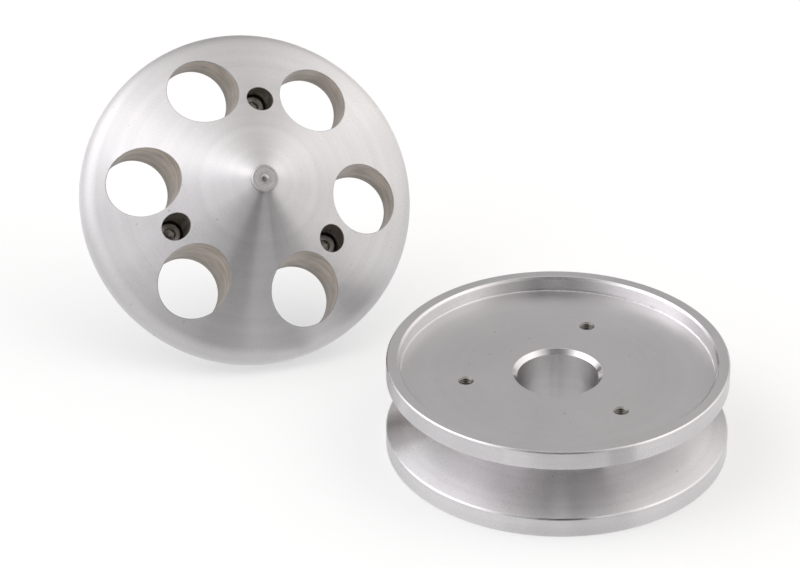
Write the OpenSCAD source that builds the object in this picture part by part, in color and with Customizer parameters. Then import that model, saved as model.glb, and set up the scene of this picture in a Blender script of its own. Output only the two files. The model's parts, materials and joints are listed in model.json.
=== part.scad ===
// Supercharger drive pulley for one classical V-belt, with a conical nose cover
// held on by three socket head screws. The pulley lies flat on its back face with
// its axis along Z. The cover stands off it on its rim, turned to show its nose,
// with the screws resting in their counterbores. Lengths are millimetres.

/* [Pulley] */
// Outside diameter of both flanges
pulley_od = 76.2; // [60:0.1:120]
// Thickness from the back face to the rim face
pulley_t = 21.8; // [18:0.1:40]
// Thickness of the back flange at its edge
back_flange = 4.6; // [3:0.1:8]
// Width of the belt groove at the outside diameter
groove_w = 12.7; // [9.5:0.1:17]
// Angle between the two groove walls, degrees
groove_angle = 38; // [34:1:40]
// Radius of the groove root
root_r = 2.4; // [1:0.1:4]
// Diameter of the bore that presses onto the rotor shaft
bore_d = 18.0; // [14:0.05:25]
// Lead-in chamfer of the bore on the recess side
bore_chamfer = 1.0; // [0.3:0.1:2]
// Lead-in chamfer of the bore on the back face
bore_back_chamfer = 0.5; // [0.3:0.1:2]
// Diameter of the recess that locates the cover
recess_d = 70.2; // [50:0.1:110]
// Depth of the recess below the rim face
recess_depth = 3.4; // [1:0.1:6]
// Chamfer at the mouth of the recess
recess_chamfer = 0.5; // [0.2:0.1:1]
// Radius in the corner of the recess
recess_fillet = 0.4; // [0.2:0.1:1]
// Chamfer on the flange edges
edge_break = 0.3; // [0.1:0.05:1]

/* [Cover] */
// Outside diameter of the cover
cover_od = 77.0; // [60:0.1:120]
// Height of the nose above the seating face
nose_h = 27.3; // [15:0.1:45]
// Rise of the cone per unit of radius
cone_slope = 0.59; // [0.3:0.01:1]
// Radius of the shoulder between the cone and the side
shoulder_r = 5.5; // [2:0.1:10]
// Diameter of the turned stub at the nose
stub_d = 6.2; // [3:0.1:10]
// Height of the stub above the cone
stub_h = 0.9; // [0.3:0.1:3]
// Diameter of the spigot that enters the recess
spigot_d = 70.0; // [50:0.1:110]
// Length of the spigot
spigot_len = 2.8; // [1:0.1:5]
// Diameter of the six lightening holes
lightening_d = 16.0; // [8:0.1:20]
// Radius of the circle the lightening holes lie on
lightening_r = 25.5; // [20:0.1:30]

/* [Screws] */
// Diameter of the circle the three screws lie on
screw_circle = 41.5; // [30:0.1:60]
// Nominal diameter of the screws
screw_d = 3.0; // [2:0.5:5]
// Thread pitch
pitch = 0.5; // [0.35:0.05:0.8]
// Length under the head
screw_len = 12; // [8:1:20]
// Head diameter
head_d = 5.5; // [4:0.1:8]
// Head height
head_h = 3.0; // [2:0.1:5]
// Width across flats of the hexagon socket
socket_af = 2.5; // [1.5:0.5:4]
// Depth of the hexagon socket
socket_depth = 1.5; // [1:0.1:3]
// Diameter of the counterbores in the cover
counterbore_d = 6.1; // [5:0.1:9]
// Height of the counterbore floor above the seating face
counterbore_z = 3.0; // [0.5:0.1:4]
// Diameter of the clearance holes in the cover
clearance_d = 3.2; // [3:0.1:5]
// Depth of full thread in the pulley
tapped_depth = 10; // [6:0.5:15]
// Angle of the first tapped hole in the pulley, degrees
tapped_angle = 70; // [0:1:119]

/* [Layout] */
// Sideways place of the cover's seating face
cover_x = -71.0; // [-120:0.5:0]
// Place of the cover's seating face behind the pulley axis
cover_y = 57.0; // [0:0.5:120]
// Lean of the cover's axis from upright, degrees
cover_lean = 50; // [0:1:80]
// Compass direction the nose points in, degrees from +X
cover_heading = -74.5; // [-180:0.5:180]
// Turn of the cover about its own axis, degrees
cover_spin = 17.8; // [0:0.1:60]

/* [Hidden] */
$fn = 96;
eps = 0.5;
flank = groove_angle / 2;
pulley_r = pulley_od / 2;
cover_r = cover_od / 2;
floor_z = pulley_t - recess_depth;
groove_z = back_flange + groove_w / 2;
// Centre of the root circle, where it touches both groove walls
root_x = pulley_r - (groove_w / 2 - root_r / cos(flank)) / tan(flank);
minor_d = screw_d - pitch;
turns = floor(tapped_depth / pitch);
// The cone meets the stub here, and the shoulder circle touches the cone and the side
cone_top = nose_h - stub_h;
cone_angle = atan(cone_slope);
shoulder_x = cover_r - shoulder_r;
shoulder_z = cone_top - cone_slope * (shoulder_x - stub_d / 2) - shoulder_r / cos(cone_angle);
tangent_x = shoulder_x + shoulder_r * sin(cone_angle);
tangent_z = shoulder_z + shoulder_r * cos(cone_angle);
// Height that puts the lowest point of the rim on the ground
cover_z = cover_r * sin(cover_lean) - edge_break * cos(cover_lean);

pulley();
cover();
screw_1();
screw_2();
screw_3();

// Half section of the pulley blank with its bore and recess
module pulley_section() {
    difference() {
        polygon([
            [bore_d / 2, bore_back_chamfer], [bore_d / 2 + bore_back_chamfer, 0],
            [pulley_r - edge_break, 0], [pulley_r, edge_break],
            [pulley_r, pulley_t - edge_break], [pulley_r - edge_break, pulley_t],
            [recess_d / 2 + recess_chamfer, pulley_t],
            [recess_d / 2, pulley_t - recess_chamfer],
            [recess_d / 2, floor_z + recess_fillet],
            [recess_d / 2 - recess_fillet, floor_z],
            [bore_d / 2 + bore_chamfer, floor_z],
            [bore_d / 2, floor_z - bore_chamfer]
        ]);
        translate([recess_d / 2 - recess_fillet, floor_z + recess_fillet])
            circle(r = recess_fillet);
        groove_section();
    }
}

// V groove with a round root and broken lips
module groove_section() {
    half = groove_w / 2;
    polygon([
        [root_x - root_r * sin(flank), groove_z - root_r * cos(flank)],
        [pulley_r - edge_break, groove_z - half + edge_break * tan(flank)],
        [pulley_r + eps, groove_z - half - edge_break - eps],
        [pulley_r + eps, groove_z + half + edge_break + eps],
        [pulley_r - edge_break, groove_z + half - edge_break * tan(flank)],
        [root_x - root_r * sin(flank), groove_z + root_r * cos(flank)]
    ]);
    translate([root_x, groove_z]) circle(r = root_r);
}

// Blind tapped hole, cut downwards from z = 0. Each turn of thread is a ring with a
// flat crest at the minor diameter.
module tapped_hole() {
    crest = pitch / 8;
    rotate_extrude()
        polygon(concat(
            [[0, eps], [screw_d / 2 + 0.25 + eps, eps], [screw_d / 2 + 0.25, 0]],
            [for (i = [1 : turns]) each
                [[minor_d / 2, -i * pitch + pitch / 4 + crest],
                 [minor_d / 2, -i * pitch + pitch / 4 - crest],
                 [screw_d / 2, -i * pitch - pitch / 4]]],
            [[minor_d / 2, -(turns + 1) * pitch], [minor_d / 2, -tapped_depth - 2],
             [0, -tapped_depth - 2 - minor_d / 2 * tan(31)]]
        ));
}

module pulley() {
    color([0.80, 0.80, 0.82])
        difference() {
            rotate_extrude() pulley_section();
            for (i = [0 : 2])
                rotate([0, 0, tapped_angle + 120 * i])
                    translate([screw_circle / 2, 0, floor_z]) tapped_hole();
        }
}

// Half section of the cover: spigot, rim, rounded shoulder, cone and nose stub
module cover_section() {
    difference() {
        union() {
            polygon([
                [0, -spigot_len], [spigot_d / 2 - edge_break, -spigot_len],
                [spigot_d / 2, edge_break - spigot_len], [spigot_d / 2, 0],
                [cover_r - edge_break, 0], [cover_r, edge_break], [cover_r, shoulder_z],
                [shoulder_x, shoulder_z], [tangent_x, tangent_z],
                [stub_d / 2, cone_top], [stub_d / 2, nose_h - edge_break],
                [stub_d / 2 - edge_break, nose_h], [0, nose_h]
            ]);
            intersection() {
                translate([shoulder_x, shoulder_z]) circle(r = shoulder_r);
                translate([shoulder_x, shoulder_z]) square([shoulder_r, shoulder_r]);
            }
        }
        centre_drill_section();
    }
}

// Mark left in the nose by the centre drill
module centre_drill_section() {
    polygon([
        [0, nose_h + eps], [1.05 + eps * tan(30), nose_h + eps], [0.4, nose_h - 0.65 / tan(30)],
        [0.4, nose_h - 1.7], [0, nose_h - 1.95]
    ]);
}

module screw_seat() {
    translate([0, 0, counterbore_z]) cylinder(h = nose_h, d = counterbore_d);
    translate([0, 0, -spigot_len - eps])
        cylinder(h = spigot_len + counterbore_z + 2 * eps, d = clearance_d);
}

// Screw hole i lies midway between two lightening holes
module at_screw(i) {
    rotate([0, 0, 30 + 120 * i]) translate([screw_circle / 2, 0, 0]) children();
}

// Places the cover and its screws where they stand, apart from the pulley
module on_cover() {
    translate([cover_x, cover_y, cover_z])
        rotate([0, cover_lean, cover_heading]) rotate([0, 0, cover_spin]) children();
}

module cover() {
    color([0.82, 0.82, 0.84]) on_cover()
        difference() {
            rotate_extrude() cover_section();
            for (i = [0 : 5])
                rotate([0, 0, 60 * i]) translate([lightening_r, 0, -spigot_len - eps])
                    cylinder(h = nose_h, d = lightening_d);
            for (i = [0 : 2]) at_screw(i) screw_seat();
        }
}

// Socket head screw, under side of the head at z = 0, point downwards
module screw() {
    knurls = 36;
    thread_turns = floor((screw_len - 1.5) / pitch);
    difference() {
        union() {
            rotate_extrude()
                polygon(concat(
                    [[0, 0.1], [screw_d / 2, 0.1], [screw_d / 2, -0.8]],
                    [for (i = [0 : thread_turns - 1]) each
                        [[minor_d / 2, -1.05 - i * pitch], [screw_d / 2, -1.3 - i * pitch]]],
                    [[minor_d / 2, -1.05 - thread_turns * pitch], [minor_d / 2, 0.25 - screw_len],
                     [minor_d / 2 - 0.25, -screw_len], [0, -screw_len]]
                ));
            intersection() {
                rotate_extrude()
                    polygon([
                        [0, 0], [head_d / 2 - 0.15, 0], [head_d / 2, 0.15],
                        [head_d / 2, head_h - 0.3], [head_d / 2 - 0.3, head_h], [0, head_h]
                    ]);
                linear_extrude(height = head_h)
                    polygon([for (i = [0 : knurls - 1]) each [
                        (head_d / 2 + 0.01) * [cos(i * 360 / knurls), sin(i * 360 / knurls)],
                        (head_d / 2 - 0.12) * [cos((i + 0.5) * 360 / knurls),
                                               sin((i + 0.5) * 360 / knurls)]
                    ]]);
            }
        }
        translate([0, 0, head_h - socket_depth])
            cylinder(h = socket_depth + eps, d = socket_af / cos(30), $fn = 6);
        translate([0, 0, head_h - 0.2])
            cylinder(h = 0.2 + eps, r1 = socket_af / 2 + 0.02, r2 = socket_af / 2 + 0.22 + eps);
        translate([0, 0, head_h - socket_depth - 0.5])
            cylinder(h = 0.52, r1 = 0, r2 = socket_af / 2 - 0.05);
    }
}

module seated_screw(i) {
    color([0.20, 0.20, 0.22]) on_cover() at_screw(i) translate([0, 0, counterbore_z]) screw();
}

module screw_1() {
    seated_screw(0);
}

module screw_2() {
    seated_screw(1);
}

module screw_3() {
    seated_screw(2);
}
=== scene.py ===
import json
import math

import bpy
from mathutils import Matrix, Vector

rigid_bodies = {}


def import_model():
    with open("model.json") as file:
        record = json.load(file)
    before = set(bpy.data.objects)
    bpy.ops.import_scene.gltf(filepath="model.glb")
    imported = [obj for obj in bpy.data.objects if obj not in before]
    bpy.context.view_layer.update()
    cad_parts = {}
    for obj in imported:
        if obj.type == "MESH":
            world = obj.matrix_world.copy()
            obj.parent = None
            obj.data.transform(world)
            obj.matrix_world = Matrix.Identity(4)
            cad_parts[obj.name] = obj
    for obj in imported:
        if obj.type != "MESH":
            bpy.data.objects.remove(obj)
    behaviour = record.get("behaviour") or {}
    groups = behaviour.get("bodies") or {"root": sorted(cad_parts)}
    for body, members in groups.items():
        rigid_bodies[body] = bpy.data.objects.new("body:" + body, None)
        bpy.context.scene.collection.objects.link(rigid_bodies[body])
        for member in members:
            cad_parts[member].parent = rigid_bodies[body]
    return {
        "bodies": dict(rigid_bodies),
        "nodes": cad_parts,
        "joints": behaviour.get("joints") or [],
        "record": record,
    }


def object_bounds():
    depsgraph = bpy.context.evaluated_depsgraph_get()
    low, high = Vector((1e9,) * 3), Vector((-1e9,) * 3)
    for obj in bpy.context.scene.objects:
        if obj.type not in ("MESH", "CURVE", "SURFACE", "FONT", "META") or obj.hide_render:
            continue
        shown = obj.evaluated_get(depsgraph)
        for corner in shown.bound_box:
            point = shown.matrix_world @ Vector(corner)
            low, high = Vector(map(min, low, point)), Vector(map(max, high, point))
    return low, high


MM = 0.001

# Camera: looks along +Y and down, from the side the photograph was taken
CAMERA_AT = Vector((-35.0, -866.8, 562.6)) * MM
CAMERA_DOWN = 31.03
LENS_MM = 207.7

# Sizes the materials need, as the parts have them
SPIGOT_LEN = 2.8 * MM
COUNTERBORE_R = 3.05 * MM
CLEARANCE_R = 1.6 * MM
LIGHTENING_R = 8.0 * MM
LIGHTENING_CIRCLE_R = 25.5 * MM
SCREW_CIRCLE_R = 20.75 * MM
STUB_R = 3.1 * MM
CENTRE_DRILL_R = 1.05 * MM
STUB_FROM, NOSE_H = 26.4 * MM, 27.3 * MM
PULLEY_R = 38.1 * MM
BORE_R = 9.0 * MM
GROOVE_ROOT_R = 24.6 * MM
GROOVE_FROM, GROOVE_TO = 4.6 * MM, 17.3 * MM
RECESS_Z = 18.4 * MM
COVER_R = 38.5 * MM
TAPPED_HOLE_R = 2.2 * MM
RECESS_CORNER = 0.5 * MM
CHAMFER_SLOPES = 0.64, 0.73
# Slack allowed when a face is told apart by its place
HAIR, SLACK = 0.05 * MM, 0.15 * MM

# Edges: how far a cut edge is rounded, and how far the cover's burred edge is rounded, which also
# sets the band of painted shade along the cover's edges
EDGE_R = 0.16 * MM
BURR_AND_SHADE_R = 0.28 * MM
DENT_COLOUR = (0.22, 0.21, 0.20, 1.0)
STEEL_TONES = (0.44, 0.42, 0.40, 1.0), (0.62, 0.60, 0.58, 1.0)
# Way across the turning marks in which they change as they run round
TURN_WAY = (1.0, 0.35, 0.6)
SWIRL_WAY = (0.0007, 0.0004, 0.0005)
WHITE = (1.0, 1.0, 1.0, 1.0)
UP = Vector((0, 0, 1))

# Metals: how much of the light each finish returns, from red to blue; where a tint differs from the
# turned tint because of where the face sits, it is painted light or painted shade, as noted
TURNED_TINT = (0.70, 0.686, 0.695)
FACED_TINT = (0.71, 0.697, 0.705)
# Groove: a lighter copy of the turned aluminium, painted light standing in for the light bounced
# between the flanks
GROOVE_LIT_TINT = (0.75, 0.735, 0.745)
# Bore: a darker copy of the turned aluminium, painted shade inside the bore
BORE_SHADED_TINT = (0.62, 0.607, 0.612)
# Chamfers: a darker copy of the turned aluminium, painted shade that dims their highlights
EDGE_SHADED_TINT = (0.64, 0.627, 0.635)
STUB_TINT = (0.52, 0.505, 0.50)
# Hole walls of the cover: darker than the turned tint, partly for their rough bored and drilled
# finish and partly as painted shade inside the holes
BORED_SHADED_TINT = (0.375, 0.315, 0.262)
DRILLED_SHADED_TINT = (0.52, 0.475, 0.43)
# Tapped holes: a darker copy of the pulley's aluminium, painted shade inside the holes
THREAD_SHADED_TINT = (0.34, 0.33, 0.31)

# Studio: radiance of the tent and glow of the floor, white being 1
OBJECT_MIDDLE = Vector((-0.035, 0.02, 0.0))
PULLEY_MIDDLE = Vector((0.0, 0.0, 0.0))
UNDER_COVER = Vector((-0.070, 0.035, 0.0))
FLOOR_TONE, FLOOR_GLOW = 0.52, 0.46
FLOOR_HALF = 6.0
WALL_SIDES, WALL_DISTANCE, WALL_HEIGHT = 48, 5.9, 4.0
PAPER_HALF, PAPER_LIFT = 0.7, 0.3 * MM
COOL_LIGHT = (0.995, 0.988, 1.0, 1.0)
WARM_LIGHT = (1.0, 0.982, 0.955, 1.0)
# Soft boxes: azimuth, elevation, tightness, strength
COOL_BOXES = (
    (178, 38, 6, 2.0),
    (-165, 56, 26, 0.85),
    (-175, 5, 15, 0.9),
    (134, 32, 10, 0.9),
    (-130, 8, 9, 1.45),
    (85, 45, 6, 0.17),
)
WARM_BOXES = (
    (0, 90, 15, 1.25),
    (-10, 52, 10, 1.1),
    (-32, 16, 11, 1.15),
    (30, 26, 4, 1.3),
)


def setup_frame():
    """The frame, and the CAD model's box before anything is added"""
    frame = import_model()
    return frame, [list(c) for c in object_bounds()]


def across(axis):
    """Two directions at right angles to the axis and to each other"""
    u = axis.cross(UP)
    u = Vector((1, 0, 0)) if u.length < 1e-6 else u.normalized()
    return u, axis.cross(u).normalized()


def span(obj, direction):
    """How far the node reaches along a direction, lowest and highest"""
    along = [v.co.dot(direction) for v in obj.data.vertices]
    return min(along), max(along)


def turning_axis(obj, axis):
    """The point at the node's low end that lies on its own axis"""
    point = axis * span(obj, axis)[0]
    for side in across(axis):
        low, high = span(obj, side)
        point += side * (low + high) / 2
    return point


class Graph:
    """Short calls for building the nodes of a material or of the world"""

    def __init__(self, owner, output="ShaderNodeOutputMaterial"):
        self.material = owner
        owner.use_nodes = True
        self.tree = owner.node_tree
        self.tree.nodes.clear()
        self.out = self.tree.nodes.new(output)

    @classmethod
    def of_material(cls, name):
        return cls(bpy.data.materials.new(name))

    def set_socket(self, socket, value):
        if isinstance(value, bpy.types.NodeSocket):
            self.tree.links.new(value, socket)
        else:
            socket.default_value = value

    def new(self, kind, inputs=(), **settings):
        node = self.tree.nodes.new(kind)
        for key, value in settings.items():
            setattr(node, key, value)
        for key, value in dict(inputs).items():
            self.set_socket(node.inputs[key], value)
        return node

    def math(self, operation, a, b=0.0, c=0.0, clamp=False):
        node = self.new("ShaderNodeMath", {0: a, 1: b, 2: c}, operation=operation, use_clamp=clamp)
        return node.outputs[0]

    def vector(self, operation, a, b=(0.0, 0.0, 0.0), scale=1.0):
        node = self.new("ShaderNodeVectorMath", {0: a, 1: b, 3: scale}, operation=operation)
        return node.outputs[1 if operation in ("LENGTH", "DOT_PRODUCT") else 0]

    def noise(self, vector, scale, detail=2.0, roughness=0.5, w=None):
        inputs = {"Vector": vector, "Scale": scale, "Detail": detail, "Roughness": roughness}
        if w is not None:
            inputs["W"] = w
        node = self.new("ShaderNodeTexNoise", inputs, noise_dimensions="3D" if w is None else "4D")
        return node.outputs["Fac"]

    def spread(self, value, low, high, to_low=0.0, to_high=1.0):
        node = self.new("ShaderNodeMapRange",
                        {"Value": value, "From Min": low, "From Max": high,
                         "To Min": to_low, "To Max": to_high})
        return node.outputs["Result"]

    def mix(self, factor, a, b):
        node = self.new("ShaderNodeMix", {0: factor}, data_type="RGBA")
        self.set_socket(node.inputs[6], a)
        self.set_socket(node.inputs[7], b)
        return node.outputs[2]

    def bump(self, height, distance, strength=1.0, normal=None):
        inputs = {"Height": height, "Distance": distance, "Strength": strength}
        if normal is not None:
            inputs["Normal"] = normal
        return self.new("ShaderNodeBump", inputs).outputs["Normal"]

    def metal(self, colour, roughness, normal, tangent=None, anisotropic=0.0):
        inputs = {"Base Color": colour, "Metallic": 1.0, "Roughness": roughness,
                  "Normal": normal, "Anisotropic": anisotropic, "Anisotropic Rotation": 0.25}
        if tangent is not None:
            inputs["Tangent"] = tangent
        shader = self.new("ShaderNodeBsdfPrincipled", inputs)
        self.tree.links.new(shader.outputs[0], self.out.inputs["Surface"])
        return self.material


def axial(g, origin, axis):
    """Radius, height and outward vector of a surface point about an axis"""
    at = g.new("ShaderNodeTexCoord").outputs["Object"]
    offset = g.vector("SUBTRACT", at, tuple(origin))
    height = g.vector("DOT_PRODUCT", offset, tuple(axis))
    lift = g.vector("SCALE", tuple(axis), scale=height)
    outward = g.vector("SUBTRACT", offset, lift)
    return g.vector("LENGTH", outward), height, outward, at


def tones(tint, low, high):
    """A darker and a lighter colour either side of a tint"""
    return [tuple(min(1.0, c * k) for c in tint) + (1.0,) for k in (low, high)]


def soft_edge(g, radius=EDGE_R):
    """Normal rounded over at sharp edges, and a mask of how near the edge is"""
    soft = g.new("ShaderNodeBevel", {"Radius": radius}, samples=6).outputs["Normal"]
    plain = g.new("ShaderNodeNewGeometry").outputs["Normal"]
    return soft, g.spread(g.vector("DOT_PRODUCT", soft, plain), 0.995, 0.92)


def turned_metal(name, origin, axis, tint, base_rough, marks_depth, anisotropic, contrast=0.12,
                 edge_tone=1.1, edge_r=EDGE_R):
    """Lathe-turned aluminium: feed marks run round the axis on every face"""
    g = Graph.of_material(name)
    radius, height, outward, at = axial(g, origin, axis)
    way_round = g.vector("NORMALIZE", g.vector("CROSS_PRODUCT", tuple(axis), outward))
    facing = g.vector("NORMALIZE", outward)
    section = g.new("ShaderNodeCombineXYZ", {"X": radius, "Y": height, "Z": 0.0}).outputs[0]
    turn = g.vector("DOT_PRODUCT", facing, TURN_WAY)
    fine = g.noise(section, 5200.0, 3.0, 0.6)
    feed = g.noise(section, 1500.0, 2.0, 0.6, w=g.math("MULTIPLY", turn, 0.9))
    arcs = g.noise(section, 2600.0, 1.0, 0.5, w=g.math("MULTIPLY", turn, 8.0))
    bands = g.noise(section, 520.0, 2.0, 0.5)
    cloud = g.noise(at, 60.0, 3.0, 0.55)
    grain = g.noise(at, 2600.0, 3.0, 0.65)
    dents = g.spread(g.noise(at, 900.0, 1.0, 0.5), 0.785, 0.82)
    lines = g.math("ADD", g.math("MULTIPLY", feed, 0.5), g.math("MULTIPLY", arcs, 0.5))
    marks = g.math("ADD", g.math("MULTIPLY", fine, 0.5), g.math("MULTIPLY", lines, 0.5))
    rough = g.math("ADD", base_rough, g.spread(lines, 0.35, 0.65, -0.045, 0.045))
    rough = g.math("ADD", rough, g.spread(cloud, 0.3, 0.7, -0.02, 0.03))
    rough = g.math("ADD", rough, g.spread(grain, 0.3, 0.7, -0.015, 0.015))
    dark, light = tones(tint, 1.0 - contrast, 1.0 + 0.8 * contrast)
    shade = g.math("ADD", g.math("MULTIPLY", lines, 0.8), g.math("MULTIPLY", bands, 0.22))
    shade = g.math("ADD", shade, g.math("MULTIPLY", grain, 0.3))
    colour = g.mix(g.spread(shade, 0.51, 0.83), dark, light)
    colour = g.mix(g.math("MULTIPLY", dents, 0.5), colour, DENT_COLOUR)
    soft, edge = soft_edge(g, edge_r)
    # Colour at the edges: edge_tone above 1 makes a painted highlight along the edges, together
    # with edge wear; below 1, as on the cover, it makes painted shade along them
    colour = g.mix(g.math("MULTIPLY", edge, 0.8), colour, tones(tint, edge_tone, edge_tone)[0])
    normal = g.bump(marks, marks_depth, normal=soft)
    return g.metal(colour, rough, normal, way_round, anisotropic)


def bored_metal(name, origin, axis, tint, base_rough, marks_depth, scale):
    """Walls of drilled and bored holes: rings and scores, with painted shade that darkens them
    towards the origin's end, deep in the hole, and at the rims
    """
    g = Graph.of_material(name)
    _, height, _, at = axial(g, origin, axis)
    facing = g.new("ShaderNodeTexCoord").outputs["Normal"]
    way_round = g.vector("NORMALIZE", g.vector("CROSS_PRODUCT", tuple(axis), facing))
    swirl = g.vector("DOT_PRODUCT", facing, SWIRL_WAY)
    along = g.new("ShaderNodeCombineXYZ", {"X": g.math("ADD", height, swirl)}).outputs[0]
    rings = g.noise(along, scale, 3.0, 0.6)
    bands = g.noise(along, scale * 0.16, 1.0, 0.5)
    cloud = g.noise(at, 260.0, 3.0, 0.6)
    marks = g.math("ADD", g.math("MULTIPLY", rings, 0.6), g.math("MULTIPLY", bands, 0.5))
    rough = g.math("ADD", base_rough, g.spread(cloud, 0.3, 0.7, -0.05, 0.05))
    dark, light = tones(tint, 0.62, 1.18)
    smear = g.noise(g.vector("MULTIPLY", at, (1.0, 1.0, 1.6)), 190.0, 2.0, 0.5)
    marks_tone = g.math("ADD", g.math("MULTIPLY", marks, 0.7), g.math("MULTIPLY", smear, 0.3))
    colour = g.mix(g.spread(marks_tone, 0.44, 0.62), dark, light)
    scores = g.spread(g.noise(along, scale * 0.4, 1.0, 0.5), 0.60, 0.66)
    colour = g.mix(g.math("MULTIPLY", scores, 0.6), colour, tones(tint, 0.35, 0.35)[0])
    # Painted shade: darker towards the origin's end, deep inside the hole
    painted_hole_shade = g.spread(height, 1.0 * MM, 11.0 * MM, 0.75, 0.0)
    colour = g.mix(painted_hole_shade, colour, tones(tint, 0.42, 0.42)[0])
    soft, edge = soft_edge(g)
    # Painted shade along the rims: darker near the edges
    colour = g.mix(g.math("MULTIPLY", edge, 0.5), colour, tones(tint, 0.6, 0.6)[0])
    normal = g.bump(marks, marks_depth, normal=soft)
    return g.metal(colour, rough, normal, way_round, 0.6)


def stub_metal(origin, axis):
    """Nose stub: a rough end cut with a few coarse rings, painted shade at the foot of its side and
    a painted highlight in the centre drill
    """
    g = Graph.of_material("cover_stub")
    radius, height, outward, at = axial(g, origin, axis)
    across_cut = g.new("ShaderNodeCombineXYZ", {"X": radius, "Y": height}).outputs[0]
    rings = g.noise(across_cut, 3200.0, 2.0, 0.6)
    grain = g.noise(at, 2200.0, 3.0, 0.6)
    marks = g.math("ADD", g.math("MULTIPLY", rings, 0.6), g.math("MULTIPLY", grain, 0.4))
    dark, light = tones(STUB_TINT, 0.75, 1.2)
    colour = g.mix(g.spread(marks, 0.35, 0.65), dark, light)
    # Painted shade at the foot of the stub's side, where it meets the cone
    foot = g.spread(height, STUB_FROM + 0.1 * MM, NOSE_H - 0.2 * MM, 0.4, 0.0)
    colour = g.mix(foot, colour, tones(STUB_TINT, 0.35, 0.35)[0])
    # Painted highlight inside the centre drill
    painted_pilot_highlight = g.spread(radius, CENTRE_DRILL_R, CENTRE_DRILL_R - 0.2 * MM)
    colour = g.mix(painted_pilot_highlight, colour, tones(STUB_TINT, 1.7, 1.7)[0])
    way_round = g.vector("NORMALIZE", g.vector("CROSS_PRODUCT", tuple(axis), outward))
    return g.metal(colour, g.spread(marks, 0.3, 0.7, 0.3, 0.42), g.bump(marks, 0.01 * MM),
                   way_round, 0.5)


def screw_metal():
    """Stainless screws: faintly mottled"""
    g = Graph.of_material("screw_stainless")
    at = g.new("ShaderNodeTexCoord").outputs["Object"]
    grain = g.noise(at, 2600.0, 4.0, 0.6)
    cloud = g.noise(at, 420.0, 2.0, 0.5)
    colour = g.mix(g.spread(cloud, 0.35, 0.65), *STEEL_TONES)
    rough = g.spread(grain, 0.3, 0.7, 0.26, 0.42)
    return g.metal(colour, rough, g.bump(grain, 0.006 * MM, normal=soft_edge(g)[0]))


def use_materials(obj, materials, choose):
    """Gives each face of a node the material that choose names for it"""
    names = list(materials)
    obj.data.materials.clear()
    for name in names:
        obj.data.materials.append(materials[name])
    for face in obj.data.polygons:
        face.material_index = names.index(choose(face.center, face.normal))


def cover_face(origin, axis):
    """Names the finish of a cover face from where it is and where it faces"""
    walls = ((LIGHTENING_R, LIGHTENING_CIRCLE_R, "bored"),
             (COUNTERBORE_R, SCREW_CIRCLE_R, "drilled"),
             (CLEARANCE_R, SCREW_CIRCLE_R, "drilled"))

    def choose(centre, facing):
        height = (centre - origin).dot(axis)
        off_axis = (centre - origin - axis * height).length
        if height > SPIGOT_LEN + STUB_FROM - 2 * HAIR and off_axis < STUB_R + HAIR:
            return "stub"
        if abs(facing.dot(axis)) > 0.2:
            return "turned"
        for wall, circle, finish in walls:
            middle = centre + facing * wall - origin
            out = (middle - axis * middle.dot(axis)).length
            if abs(out - circle) < SLACK and (centre - origin).length < COVER_R - MM:
                return finish
        return "turned"
    return choose


def pulley_face(centre, facing):
    """Names the finish of a pulley face from where it is and how it slopes"""
    out, height, slope = Vector((centre.x, centre.y)).length, centre.z, abs(facing.z)
    if abs(out - SCREW_CIRCLE_R) < TAPPED_HOLE_R and MM < height < RECESS_Z - HAIR:
        return "thread"
    if slope > 0.95:
        return "faced"
    in_groove = GROOVE_ROOT_R - MM < out < PULLEY_R - 2 * SLACK
    if in_groove and GROOVE_FROM < height < GROOVE_TO:
        return "groove"
    corner = out > GROOVE_ROOT_R and RECESS_Z < height < RECESS_Z + RECESS_CORNER
    if CHAMFER_SLOPES[0] < slope < CHAMFER_SLOPES[1] and not corner:
        return "edge"
    return "bore" if out < BORE_R + SLACK + HAIR else "turned"


def finish_cad(frame):
    """Gives every face of the CAD nodes its finish"""
    nodes = frame["nodes"]
    screw_out = next(j for j in frame["joints"] if j["name"] == "screw_1_out")
    axis = Vector(screw_out["axis"]).normalized()
    base = turning_axis(nodes["cover"], axis)
    origin, up = Vector((0, 0, 0)), UP
    use_materials(nodes["cover"], {
        # Cover: painted shade along its edges, a darker band as wide as the burr rounding
        "turned": turned_metal("cover_turned", base, axis, TURNED_TINT, 0.33, 0.0045 * MM, 1.0,
                               edge_tone=0.3, edge_r=BURR_AND_SHADE_R),
        "stub": stub_metal(base + axis * SPIGOT_LEN, axis),
        "bored": bored_metal("cover_bored", base, axis, BORED_SHADED_TINT, 0.36, 0.02 * MM, 2600.0),
        "drilled": bored_metal("cover_drilled", base, axis, DRILLED_SHADED_TINT, 0.30, 0.02 * MM, 3600.0),
    }, cover_face(base, axis))
    use_materials(nodes["pulley"], {
        "turned": turned_metal("pulley_turned", origin, up, TURNED_TINT, 0.30, 0.003 * MM, 1.0),
        "groove": turned_metal("pulley_groove", origin, up, GROOVE_LIT_TINT, 0.30, 0.003 * MM, 1.0),
        "bore": turned_metal("pulley_bore", origin, up, BORE_SHADED_TINT, 0.31, 0.003 * MM, 1.0),
        "edge": turned_metal("pulley_edge", origin, up, EDGE_SHADED_TINT, 0.19, 0.001 * MM, 0.3, 0.04),
        "faced": turned_metal("pulley_faced", origin, up, FACED_TINT, 0.36, 0.003 * MM, 0.3, 0.06),
        "thread": bored_metal("pulley_thread", origin, up, THREAD_SHADED_TINT, 0.32, 0.01 * MM, 3600.0),
    }, pulley_face)
    steel = screw_metal()
    for name in ("screw_1", "screw_2", "screw_3"):
        use_materials(nodes[name], {"steel": steel}, lambda centre, facing: "steel")


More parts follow.
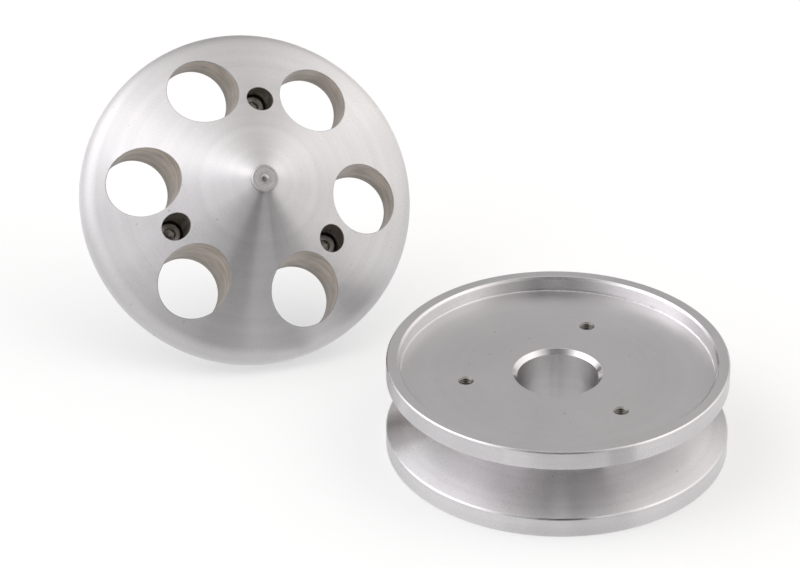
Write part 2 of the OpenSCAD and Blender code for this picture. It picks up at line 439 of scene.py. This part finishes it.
def floor():
    """Plain pale floor that glows a little, as a lit table does"""
    mesh = bpy.data.meshes.new("studio_floor")
    half = FLOOR_HALF
    mesh.from_pydata([(-half, -half, 0), (half, -half, 0), (half, half, 0), (-half, half, 0)],
                     [], [(0, 1, 2, 3)])
    obj = bpy.data.objects.new("studio_floor", mesh)
    bpy.context.scene.collection.objects.link(obj)
    g = Graph.of_material("studio_floor")
    at = g.new("ShaderNodeTexCoord").outputs["Object"]
    tone = g.noise(at, 3.0, 2.0, 0.5)
    colour = g.mix(tone, *tones((FLOOR_TONE,) * 3, 0.99, 1.01))
    shader = g.new("ShaderNodeBsdfPrincipled",
                   {"Base Color": colour, "Roughness": 0.9, "Specular IOR Level": 0.0,
                    "Emission Color": WHITE, "Emission Strength": FLOOR_GLOW})
    g.tree.links.new(shader.outputs[0], g.out.inputs["Surface"])
    mesh.materials.append(g.material)


def backdrop():
    """Pale wall all round, far off, that only the camera sees"""
    corners, faces = [], []
    for k in range(WALL_SIDES):
        foot = direction(360.0 * k / WALL_SIDES, 0) * WALL_DISTANCE
        corners += [foot.xy[:] + (-MM,), foot.xy[:] + (WALL_HEIGHT,)]
        low, following = 2 * k, 2 * ((k + 1) % WALL_SIDES)
        faces.append((low, following, following + 1, low + 1))
    mesh = bpy.data.meshes.new("backdrop")
    mesh.from_pydata(corners, [], faces)
    obj = emitter("backdrop", mesh, 1.0)
    obj.visible_diffuse = obj.visible_glossy = obj.visible_shadow = False


def direction(azimuth, elevation):
    a, e = math.radians(azimuth), math.radians(elevation)
    return Vector((math.cos(a) * math.cos(e), math.sin(a) * math.cos(e), math.sin(e)))


def lobe(g, way, azimuth, elevation, tightness, strength):
    """A soft patch of light in the tent, brightest in one direction"""
    facing = g.vector("DOT_PRODUCT", way, tuple(direction(azimuth, elevation)))
    return g.math("MULTIPLY", g.math("POWER", g.math("MAXIMUM", facing, 0.0), tightness), strength)


def tent():
    """Light tent with soft boxes: cooler on the left, warmer overhead and on the right"""
    world = bpy.data.worlds.new("studio")
    bpy.context.scene.world = world
    g = Graph(world, "ShaderNodeOutputWorld")
    way = g.new("ShaderNodeTexCoord").outputs["Generated"]
    sides = []
    for colour, boxes in ((COOL_LIGHT, COOL_BOXES), (WARM_LIGHT, WARM_BOXES)):
        light = 0.0
        for azimuth, elevation, tightness, strength in boxes:
            light = g.math("ADD", light, lobe(g, way, azimuth, elevation, tightness, strength))
        sides.append(g.new("ShaderNodeBackground", {"Color": colour, "Strength": light}).outputs[0])
    both = g.new("ShaderNodeAddShader", {0: sides[0], 1: sides[1]})
    g.tree.links.new(both.outputs[0], g.out.inputs["Surface"])


def emitter(name, mesh, shade):
    """Stages a mesh that glows evenly"""
    g = Graph.of_material(name)
    glow = g.new("ShaderNodeEmission", {"Color": WHITE, "Strength": shade})
    g.tree.links.new(glow.outputs[0], g.out.inputs["Surface"])
    mesh.materials.append(g.material)
    obj = bpy.data.objects.new(name, mesh)
    bpy.context.scene.collection.objects.link(obj)
    return obj


def sheet(name, corners, shade):
    """A flat sheet that is only seen in reflections"""
    mesh = bpy.data.meshes.new(name)
    mesh.from_pydata(corners, [], [(0, 1, 3, 2)])
    obj = emitter(name, mesh, shade)
    obj.visible_camera = obj.visible_diffuse = obj.visible_shadow = False


def card(name, azimuth, width, low, high, shade, middle=OBJECT_MIDDLE):
    """A sheet that faces the object: low and high are (distance, height) of its two ends"""
    out, side = direction(azimuth, 0), direction(azimuth + 90, 0)
    corners = []
    for distance, height in (low, high):
        half = distance * math.tan(math.radians(width / 2))
        place = middle + out * distance
        corners += [(place + side * way * half).xy[:] + (height,) for way in (-1, 1)]
    sheet(name, corners, shade)


def studio():
    """The tent, and the cards whose reflections draw the light and dark streaks"""
    tent()
    half = PAPER_HALF
    sheet("paper", [(x, y, PAPER_LIFT) for y in (-half, half) for x in (-half, half)], 0.86)
    card("front_card", -79, 34, (0.15, 0.002), (0.9, 0.42), 0.02)
    card("front_dark_left", -101, 5, (0.14, 0.002), (0.8, 0.43), 0.0)
    card("near_card", -59, 12, (0.13, 0.002), (0.34, 0.12), 0.02)
    card("front_dark_right", -49, 8, (0.13, 0.002), (0.34, 0.12), 0.0)
    card("front_shade", -82, 46, (0.60, 0.72), (0.35, 0.95), 0.25)
    card("camera_shade", -79, 16, (0.75, 0.20), (0.62, 0.75), 0.0)
    card("fill_left", -113, 22, (0.85, 0.20), (0.62, 0.74), 0.6)
    card("fill_right", -56, 20, (0.85, 0.42), (0.62, 0.74), 1.0)
    card("streak", -87.7, 2.0, (0.90, 0.44), (0.40, 1.2), 9.0, middle=PULLEY_MIDDLE)
    card("streak_low", -87.7, 1.6, (0.60, 0.27), (0.90, 0.44), 2.8, middle=PULLEY_MIDDLE)
    card("front_bounce", -92, 50, (0.045, 0.0008), (0.09, 0.0008), 1.15, middle=PULLEY_MIDDLE)
    card("table_shade", -93, 34, (0.035, 0.0006), (0.12, 0.0006), 0.5, middle=UNDER_COVER)
    card("table_dark", -78, 52, (0.115, 0.0006), (0.145, 0.0018), 0.1)
    card("foot_shade", 163, 22, (0.050, 0.0006), (0.060, 0.0006), 0.45, middle=PULLEY_MIDDLE)


def camera():
    """Pinhole camera at the photograph's angle"""
    data = bpy.data.cameras.new("camera")
    data.lens = LENS_MM
    data.sensor_fit = "HORIZONTAL"
    data.sensor_width = 36.0
    data.clip_start, data.clip_end = 0.01, 20.0
    obj = bpy.data.objects.new("camera", data)
    obj.location = CAMERA_AT
    obj.rotation_euler = (math.radians(90.0 - CAMERA_DOWN), 0.0, 0.0)
    bpy.context.scene.collection.objects.link(obj)
    bpy.context.scene.camera = obj


def main():
    frame, cad_box = setup_frame()
    finish_cad(frame)
    floor()
    backdrop()
    studio()
    camera()
    view = bpy.context.scene.view_settings
    view.view_transform = "Standard"


main()
